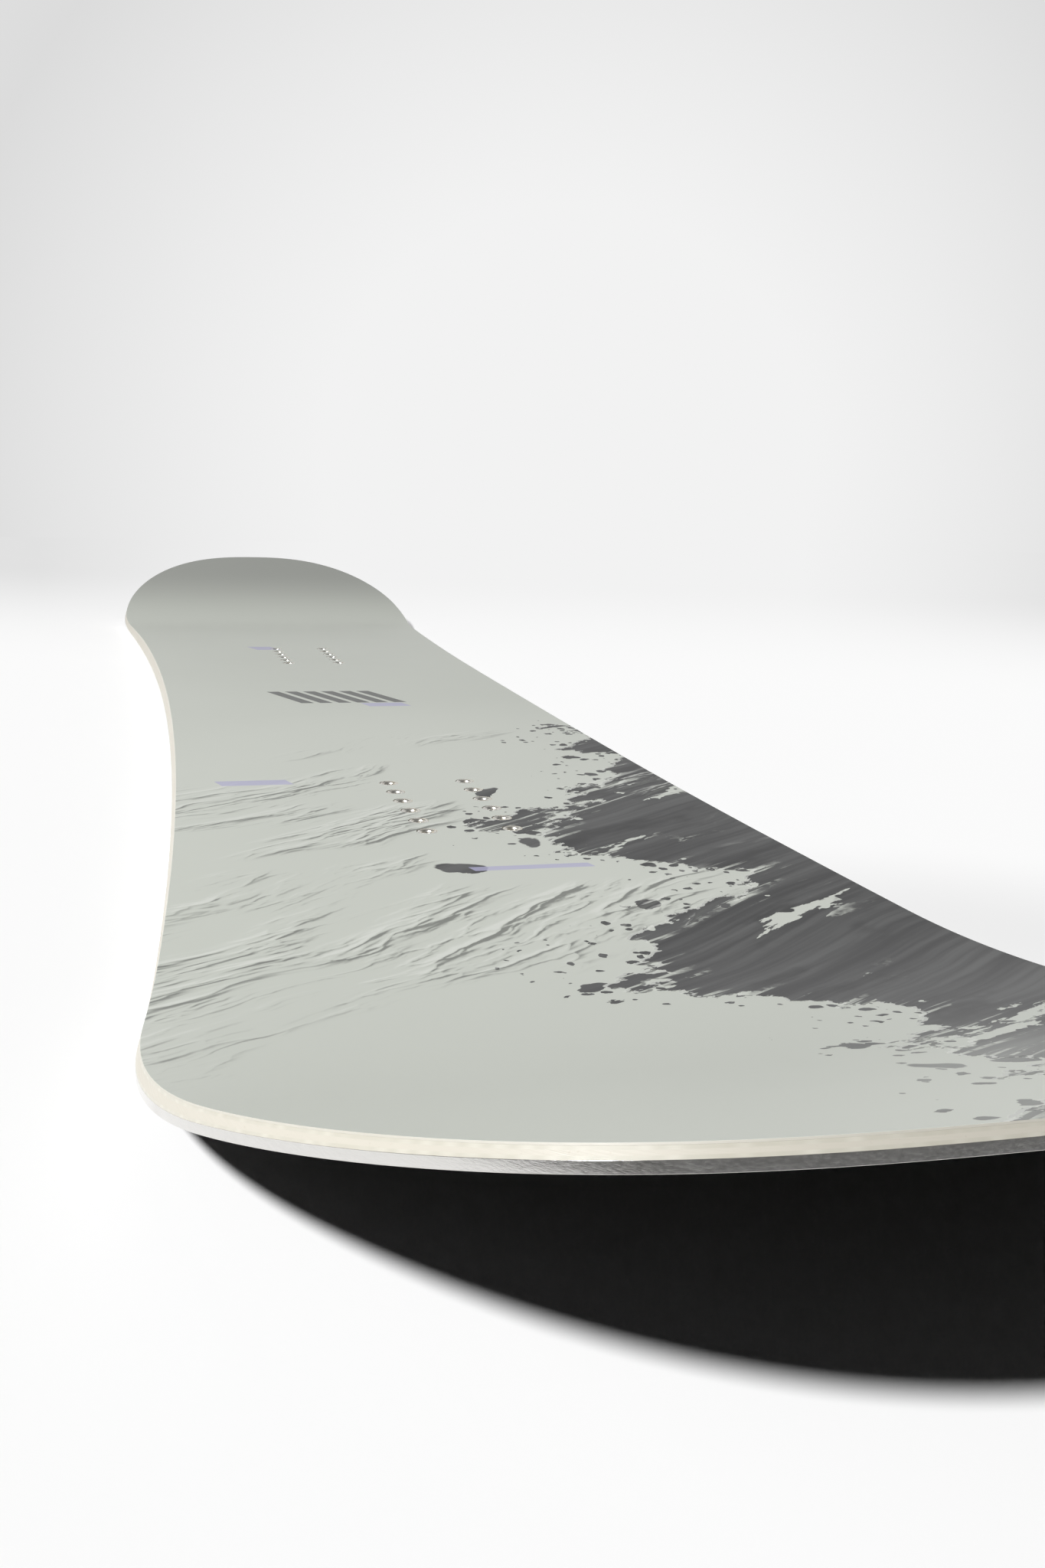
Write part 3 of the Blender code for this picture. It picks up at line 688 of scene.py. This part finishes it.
def base_finish():
    """Black sintered base with a crossed stone grind."""
    base = Finish("sintered_base")
    cross = base.math(
        "MAXIMUM", *[base.noise(base.stretch((1500, 22, 1), math.radians(lean)), 1.0) for lean in (9, -9)],
    )
    grain = base.noise(base.place, 2200.0, 2.0)
    cloud = base.noise(base.place, 9.0, 4.0)
    colour = base.mix(cloud, (0.0085, 0.0085, 0.009), (0.015, 0.015, 0.016))
    colour = base.mix(base.ramp(grain, 0.60, 0.72, 0.0, 0.5), colour, (0.035, 0.035, 0.037))
    base.set("Base Color", colour)
    base.set("Roughness", base.ramp(cross, 0.4, 0.8, 0.26, 0.42))
    base.set("Specular IOR Level", 0.15)
    base.relief(cross, 0.00004, 0.7)
    return base.material


def nickel_finish():
    """Nickel plating with a warm tint where the steel below shows through."""
    nickel = Finish("nickel_plate", metallic=1.0)
    cloud = nickel.ramp(nickel.noise(nickel.place, 260.0, 4.0), 0.45, 0.8)
    turned = nickel.noise(nickel.stretch((200, 200, 4000)), 1.0, 2.0)
    nickel.set("Base Color", nickel.mix(cloud, (0.93, 0.91, 0.85), (0.86, 0.79, 0.64)))
    nickel.set("Roughness", nickel.ramp(turned, 0.2, 0.8, 0.24, 0.36))
    nickel.relief(turned, 0.00002, 0.5)
    return nickel.material


def glass_finish():
    """Woven glass fibre in clear resin."""
    glass = Finish("glass_fibre", roughness=0.35)
    weave = [glass.stretch((1, 1, 1), math.radians(lean)) for lean in (45, -45)]
    weave = [
        glass.add("ShaderNodeTexWave", {"Vector": threads, "Scale": 62.0, "Distortion": 0.6})
        for threads in weave
    ]
    cloth = glass.math("MULTIPLY", *[glass.grey(threads) for threads in weave])
    cloud = glass.noise(glass.place, 30.0)
    colour = glass.mix(cloth, (0.515, 0.495, 0.425), (0.575, 0.555, 0.485))
    colour = glass.mix(glass.ramp(cloud, 0.5, 0.8, 0.0, 0.3), colour, (0.42, 0.39, 0.31))
    glass.set("Base Color", colour)
    glass.relief(cloth, 0.00005, 0.5)
    return glass.material


def wood_finish(name, light, dark, ring_scale):
    """Planed wood, with its grain along the deck."""
    wood = Finish(name, roughness=0.6)
    swayed = wood.warp(wood.stretch((ring_scale, 1.2, ring_scale)), 2.0, 0.5)
    rings = wood.add(
        "ShaderNodeTexWave", {"Vector": swayed, "Scale": 1.0, "Distortion": 3.0, "Detail": 3.0},
        wave_type="RINGS", rings_direction="Y",
    )
    fibre = wood.noise(wood.stretch((1200, 30, 1200)), 1.0)
    colour = wood.mix(wood.grey(rings), light, dark)
    colour = wood.mix(wood.ramp(fibre, 0.55, 0.8, 0.0, 0.5), colour, tuple(value * 0.6 for value in dark))
    wood.set("Base Color", colour)
    wood.relief(fibre, 0.00006, 0.6)
    return wood.material


def rubber_finish():
    """Thin rubber foil with a cloth imprint."""
    rubber = Finish("rubber_foil", roughness=0.85)
    cloud = rubber.noise(rubber.place, 20.0)
    rubber.set("Base Color", rubber.mix(cloud, (0.014, 0.014, 0.014), (0.030, 0.029, 0.028)))
    rubber.relief(rubber.noise(rubber.place, 1100.0), 0.00005, 0.7)
    return rubber.material


# Layers

def running_base(material):
    """Black base sheet between the steel edges."""
    lines = [rim_line(up(level), STEEL_WIDTH + BASE_FIT) for level in (0, BASE_TOP)]
    base = lay_strip("base_sheet", mirror_lines(lines))
    press_piece(base, BASE_ROUNDING)
    dress(base, material, "base_black", "running_base")


def steel_edges(material):
    """Two ground steel edges with teeth that run in under the glass."""
    count = round(RIM_LENGTH / TOOTH_PITCH)
    pitch = RIM_LENGTH / count
    middles = (np.arange(count) + 0.5) * pitch
    starts, ends = (middles + side * TOOTH_SHARE / 2 * pitch for side in (-1, 1))
    marks = np.concatenate((starts, ends, (STEEL_END_GAP, RIM_LENGTH - STEEL_END_GAP)))
    spare = [station for station in STATIONS[1:-1] if np.min(np.abs(marks - station)) > TOOTH_ROOM]
    stations = np.sort(np.concatenate((marks, spare)))
    corners = (
        (0, 0), (0, STEEL_TOP), (STEEL_WIDTH, STEEL_TOP), (STEEL_WIDTH, TOOTH_TOP), (STEEL_WIDTH, BASE_TOP),
        (STEEL_WIDTH, 0),
    )
    lines = [rim_line(up(level), inset, stations) for inset, level in corners]
    spans = (stations[1:] + stations[:-1]) / 2
    teeth = np.zeros((len(corners), len(spans)), dtype=bool)
    toothed = corners.index((STEEL_WIDTH, TOOTH_TOP))
    teeth[toothed] = [np.any((starts < span) & (span < ends)) for span in spans]
    edge = lay_strip("edge_steel_right", lines, pinched=False, teeth=teeth.ravel())
    press_piece(edge, STEEL_ROUNDING)
    other = mirror_copy(edge, "edge_steel_left")
    dress(edge, material, "edge_steel", "steel_edge_right")
    dress(other, material, "edge_steel", "steel_edge_left")


def glass_layers(material):
    """Lower laminate, with its step over the teeth, and upper laminate."""
    lower = [
        rim_line(up(GLASS_FIELD), SIDEWALL_WIDTH),
        rim_line(up(STEEL_TOP), JOGGLE_INSET),
        rim_line(up(STEEL_TOP)),
        rim_line(up(CORE_RIM)),
        rim_line(up(CORE_RIM), JOGGLE_INSET),
        rim_line(up(CORE_FIELD), SIDEWALL_WIDTH),
    ]
    piece = lay_strip("glass_lower", mirror_lines(lower))
    press_piece(piece)
    dress(piece, material, "glass_laminate", "lower_laminate")
    upper = [rim_line(down(UPPER_GLASS_DEPTH)), rim_line(down(FILM_DEPTH))]
    piece = lay_strip("glass_upper", mirror_lines(upper))
    press_piece(piece)
    drill(piece)
    dress(piece, material, "glass_laminate", "upper_laminate")


def rim_plastics(material):
    """Cream sidewalls and the tip spacers that carry on their rim round the tips."""
    spacer = [
        rim_line(up(CORE_FIELD), SIDEWALL_WIDTH),
        rim_line(up(CORE_RIM), JOGGLE_INSET),
        rim_line(up(CORE_RIM)),
        rim_line(down(UPPER_GLASS_DEPTH)),
    ]
    for name, joint, keep, node in (
        ("spacer_nose", NOSE_JOINT, -1, "nose_spacer"), ("spacer_tail", TAIL_JOINT, 1, "tail_spacer"),
    ):
        piece = lay_strip(name, mirror_lines(spacer))
        cut_across(piece, joint, keep)
        press_piece(piece)
        dress(piece, material, "sidewall_cream", node)
    side = [
        rim_line(up(CORE_RIM)),
        rim_line(up(CORE_RIM), JOGGLE_INSET),
        rim_line(up(CORE_FIELD), SIDEWALL_WIDTH),
        rim_line(down(UPPER_GLASS_DEPTH), SIDEWALL_WIDTH),
        rim_line(down(UPPER_GLASS_DEPTH)),
    ]
    wall = lay_strip("wall_right", side)
    cut_across(wall, NOSE_JOINT, 1)
    cut_across(wall, TAIL_JOINT, -1)
    press_piece(wall)
    other = mirror_copy(wall, "wall_left")
    dress(wall, material, "sidewall_cream", "sidewall_right")
    dress(other, material, "sidewall_cream", "sidewall_left")


def insert_places():
    """Name and place of every insert: its seat's position and tilt on the pressed deck."""
    places = {}
    for end, centre in PACKS.items():
        seat = Vector(press([(0, centre, CORE_FIELD)])[0])
        pack = Matrix.Translation(seat) @ Matrix.Rotation(float(slope_at(centre)), 4, "X")
        for side, x in ROW_SIDES:
            for number in range(ROW_LENGTH):
                spot = (x, (number - (ROW_LENGTH - 1) / 2) * ROW_STEP, 0)
                places[f"{end}_{side}_{number + 1}"] = pack @ Matrix.Translation(spot)
    return places


INSERTS = insert_places()


def drill(piece):
    """Cut clean round holes for the inserts."""
    nothing_selected()
    cutters = []
    for place in INSERTS.values():
        bpy.ops.mesh.primitive_cylinder_add(vertices=HOLE_SIDES, radius=HOLE_RADIUS, depth=CUTTER_LENGTH)
        cutter = bpy.context.object
        cutter.data.transform(place)
        cutters.append(cutter)
    nothing_selected()
    for cutter in cutters:
        cutter.select_set(True)
    bpy.context.view_layer.objects.active = cutters[0]
    bpy.ops.object.join()
    cutter = bpy.context.object
    apply_modifier(piece, "BOOLEAN", operation="DIFFERENCE", solver="EXACT", object=cutter)
    bpy.data.objects.remove(cutter, do_unlink=True)


def topsheet(print_finish, rim_finish):
    """Printed film over the whole deck, with its rim cut flush and its holes drilled."""
    lines = [rim_line(down(FILM_DEPTH)), rim_line(down(0))]
    sheet = lay_strip("printed_sheet", mirror_lines(lines))
    press_piece(sheet, FILM_ROUNDING, segments=3)
    drill(sheet)
    sheet.data.materials.append(print_finish)
    sheet.data.materials.append(rim_finish)
    steep = 0.62
    for face in sheet.data.polygons:
        face.material_index = int(face.normal.z < steep)
    dress(sheet, print_finish, "topsheet_sage", "topsheet", angle=35)


def inserts(material):
    """Flanged inserts with a dished ring and a cut thread, one modelled and the rest copied."""
    top = MIDDLE_THICKNESS - BELOW_FILM - CORE_FIELD
    profile = [
        (0, 0), (FLANGE_RADIUS - CHAMFER, 0), (FLANGE_RADIUS, CHAMFER),
        (FLANGE_RADIUS, FLANGE_THICKNESS - CHAMFER / 2), (FLANGE_RADIUS - CHAMFER, FLANGE_THICKNESS),
        (BARREL_RADIUS, FLANGE_THICKNESS), (BARREL_RADIUS, top - CHAMFER), (BARREL_RADIUS - CHAMFER, top),
        (RING_RADIUS, top - RING_DISH), (THREAD_ROOT + CHAMFER, top - 1.5 * CHAMFER),
        (THREAD_ROOT, top - THREAD_START),
    ]
    for number in range(THREAD_TURNS):
        level = top - THREAD_START - number * THREAD_PITCH
        profile += [
            (THREAD_CREST, level - 0.4 * THREAD_PITCH), (THREAD_CREST, level - 0.6 * THREAD_PITCH),
            (THREAD_ROOT, level - THREAD_PITCH),
        ]
    profile += [
        (DRILL_RADIUS, level - 1.4 * THREAD_PITCH), (DRILL_RADIUS, top - DRILL_DEPTH + CHAMFER),
        (0, top - DRILL_DEPTH),
    ]
    pattern = turned_piece("insert_pattern", profile)
    for label, place in INSERTS.items():
        insert = copy_piece(pattern, f"threaded_insert_{label}")
        insert.data.transform(place)
        dress(insert, material, "insert_nickel", f"insert_{label}", angle=30)
    bpy.data.objects.remove(pattern, do_unlink=True)


def paint_inner_nodes():
    """Give the pieces pressed inside the deck their own finished materials."""
    poplar = wood_finish("planed_poplar", (0.66, 0.50, 0.31), (0.52, 0.37, 0.20), 160.0)
    beech = wood_finish("planed_beech", (0.50, 0.32, 0.17), (0.36, 0.21, 0.10), 220.0)
    rubber = rubber_finish()
    for name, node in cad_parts.items():
        if name.startswith("core_stringer_hard"):
            material = beech
        elif name.startswith("core_stringer"):
            material = poplar
        elif name.startswith("damping_strip"):
            material = rubber
        else:
            continue
        for slot in node.material_slots:
            slot.material = material


# Studio

def floor_finish():
    """Plain pale floor of one shade all round, which keeps the deck's shadow and runs into the backdrop.

    Where the lamp gives too much light the paint is darker. Where it gives too little, a light of the floor's
    own fills up, for camera, gloss and glass alone.
    """
    floor = Finish("studio_floor", roughness=0.9)
    back = floor.axis(floor.place, 1)

    ray = floor.vector("SUBTRACT", floor.place, LAMP_SPOT)
    facing = floor.vector("DOT_PRODUCT", ray, LAMP_AIM, output=1)
    reach = floor.math("POWER", floor.vector("DOT_PRODUCT", ray, ray, output=1), 2.0)
    light = floor.math("DIVIDE", facing, reach)
    light = floor.math("MULTIPLY", light, LAMP_POWER * LAMP_SPOT.z / math.pi ** 2)
    paint = floor.ramp(back, -0.90, -1.20, FLOOR_PAINT, FLOOR_PAINT_BEHIND)
    pale = floor.math("MINIMUM", floor.math("DIVIDE", FLOOR_LIGHT, light), paint)
    lift = floor.math("SUBTRACT", FLOOR_LIGHT, floor.math("MULTIPLY", light, paint))
    lift = floor.math("MAXIMUM", lift, 0.0)
    # No fill-up glow round the nose's shadow, so the cast shadow stays dark; the floor ringing it, lit by the
    # lamp alone, is a little darker, like a soft shadow.
    from_shadow = floor.vector("DISTANCE", floor.place, SHADOW_SPOT, output=1)
    lift = floor.math("MULTIPLY", lift, floor.ramp(from_shadow, 0.19, 0.34))

    depth = floor.vector("DOT_PRODUCT", floor.place, BACKDROP, output=1)
    aside = floor.vector("DOT_PRODUCT", floor.place, BACKDROP_SIDE, output=1)
    aside = floor.math("ABSOLUTE", floor.math("SUBTRACT", aside, BACKDROP_OFFSET))
    outer = floor.math("MAXIMUM", floor.ramp(aside, 1.45, 2.6), floor.ramp(back, -1.4, -2.7))
    wall = floor.math("POWER", floor.math("DIVIDE", aside, floor.math("ADD", depth, 1.0)), 2.0)
    wall = floor.math("MINIMUM", floor.math("MULTIPLY_ADD", wall, WALL_FALL, WALL_MIDDLE), WALL_BRIGHTEST)
    wall = floor.math("MAXIMUM", wall, WALL_DARKEST)
    wall = floor.ramp(outer, 0.0, 1.0, wall, WALL_LIGHT, soft=False)
    sweep = floor.math("MAXIMUM", floor.ramp(depth, 0.25, 1.30), outer)
    bare = floor.math("SUBTRACT", 1.0, sweep)
    glow = floor.math("MULTIPLY_ADD", wall, sweep, floor.math("MULTIPLY", lift, bare))
    floor.set("Base Color", floor.math("MULTIPLY", pale, bare))
    floor.set("Specular IOR Level", 0.0)
    floor.set("Emission Color", (1, 1, 1, 1))
    seen = floor.rays("Is Camera Ray", "Is Glossy Ray", "Is Transmission Ray")
    floor.set("Emission Strength", floor.math("MULTIPLY", seen, glow))
    return floor.material


def backdrop():
    """Backdrop for the camera, a front for gloss and glass, bright low down, and a faint fill light."""
    world = bpy.data.worlds.new("studio_backdrop")
    world.use_nodes = True
    sky = Nodes(world.node_tree)
    direction = sky.add("ShaderNodeTexCoord", {}, output="Generated")
    middle = sky.vector("DOT_PRODUCT", direction, BACKDROP, output=1)
    height = sky.axis(direction, 2)
    ahead = sky.ramp(middle, 0.91, 0.988, 0.662, WALL_BRIGHTEST, soft=False)
    around = sky.ramp(middle, 0.93, 0.82, 0.71, WALL_LIGHT, soft=False)
    seen = sky.math("MAXIMUM", ahead, around)
    front = sky.ramp(middle, -0.40, 0.40, 0.14, 0.90, soft=False)
    mirrored = sky.ramp(height, 0.16, 0.62, front, 0.16, soft=False)
    fill = sky.ramp(height, 0.30, 0.95, 0.002, 0.012, soft=False)
    glossy = sky.rays("Is Glossy Ray", "Is Transmission Ray")
    unseen = sky.add("ShaderNodeMix", {0: glossy, 2: fill, 3: mirrored})
    strength = sky.add("ShaderNodeMix", {0: sky.rays("Is Camera Ray"), 2: unseen, 3: seen})
    background = sky.tree.nodes["Background"]
    background.inputs["Color"].default_value = (1, 1, 1, 1)
    sky.tree.links.new(strength, background.inputs["Strength"])
    bpy.context.scene.world = world


def studio():
    """Floor, backdrop, one soft lamp and the camera."""
    nothing_selected()
    bpy.ops.mesh.primitive_plane_add(size=2)
    floor = name_new("studio_floor")
    floor.data.transform(Matrix.Translation(FLOOR_MIDDLE) @ Matrix.Diagonal((*FLOOR_HALF_SIZE, 1, 1)))
    floor.data.materials.append(floor_finish())
    backdrop()

    lamp = bpy.data.lights.new("key_softbox", "AREA")
    lamp.shape = "DISK"
    lamp.size = LAMP_SIZE
    lamp.energy = LAMP_POWER
    key = bpy.data.objects.new("key_softbox", lamp)
    bpy.context.collection.objects.link(key)
    key.location = LAMP_SPOT
    key.rotation_euler = LAMP_AIM.to_track_quat("-Z", "Y").to_euler()

    view = bpy.data.cameras.new("studio_camera")
    view.lens = CAMERA_LENS
    view.sensor_width = CAMERA_SENSOR
    view.clip_start = 0.01
    camera = bpy.data.objects.new("studio_camera", view)
    bpy.context.collection.objects.link(camera)
    camera.matrix_world = (
        Matrix.Translation(CAMERA_SPOT)
        @ Matrix.Rotation(CAMERA_TURN, 4, "Z")
        @ Matrix.Rotation(CAMERA_TILT, 4, "X")
        @ Matrix.Rotation(CAMERA_ROLL, 4, "Y")
        @ Matrix.Rotation(math.pi / 2, 4, "X")
    )
    bpy.context.scene.camera = camera
    bpy.context.scene.view_settings.view_transform = "Standard"


running_base(base_finish())
steel_edges(steel_finish())
glass_layers(glass_finish())
rim_plastics(sidewall_finish())
topsheet(topsheet_finish(), film_rim_finish())
inserts(nickel_finish())
paint_inner_nodes()
studio()
